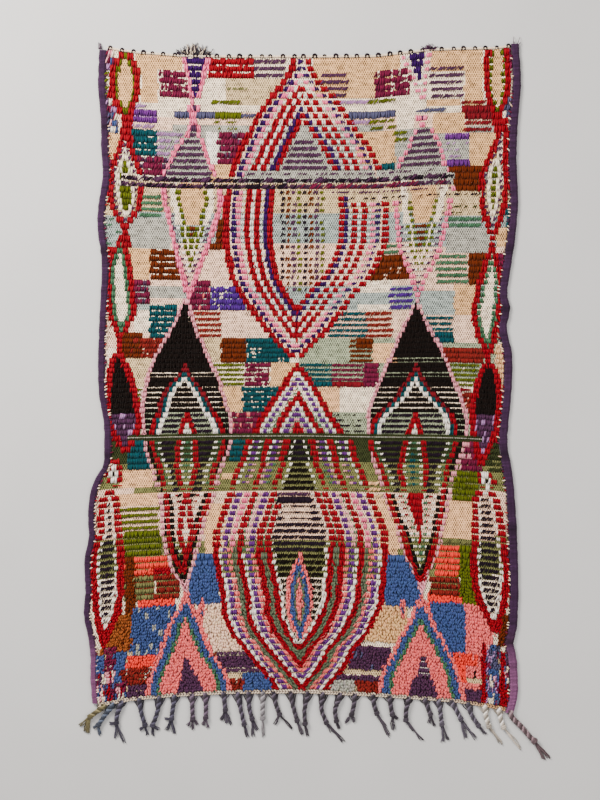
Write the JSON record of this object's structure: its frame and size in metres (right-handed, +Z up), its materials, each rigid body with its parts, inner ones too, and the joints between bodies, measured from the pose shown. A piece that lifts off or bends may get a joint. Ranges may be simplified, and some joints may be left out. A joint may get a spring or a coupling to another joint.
{
  "type": "boucherouite rug",
  "caption": "Flat knotted rag rug with lozenge and patchwork rows, overcast side edges, a woven end band with knotted warp tassels, and a looped cord at the other end.",
  "frame": {"origin": "on the floor under the middle of the knotted field", "axes": "+X across the rug, +Y along it toward the looped end, +Z up out of the pile"},
  "size_m": [1.5335, 2.3432, 0.0145],
  "materials": {
    "pile_field": "matt short rag pile in many colours",
    "selvedge_left": "matt overcast wool, purple turning mauve",
    "selvedge_right": "matt overcast wool, purple turning mauve",
    "fringe_end_band": "matt charcoal twisted wool warps with a cream woven band",
    "top_edge_cord": "matt cream cord over dark warp loops"
  },
  "bodies": {
    "root": {"pile_field": "pile_field", "selvedge_left": "selvedge_left", "selvedge_right": "selvedge_right", "fringe_end_band": "fringe_end_band", "top_edge_cord": "top_edge_cord"}
  },
  "joints": []
}
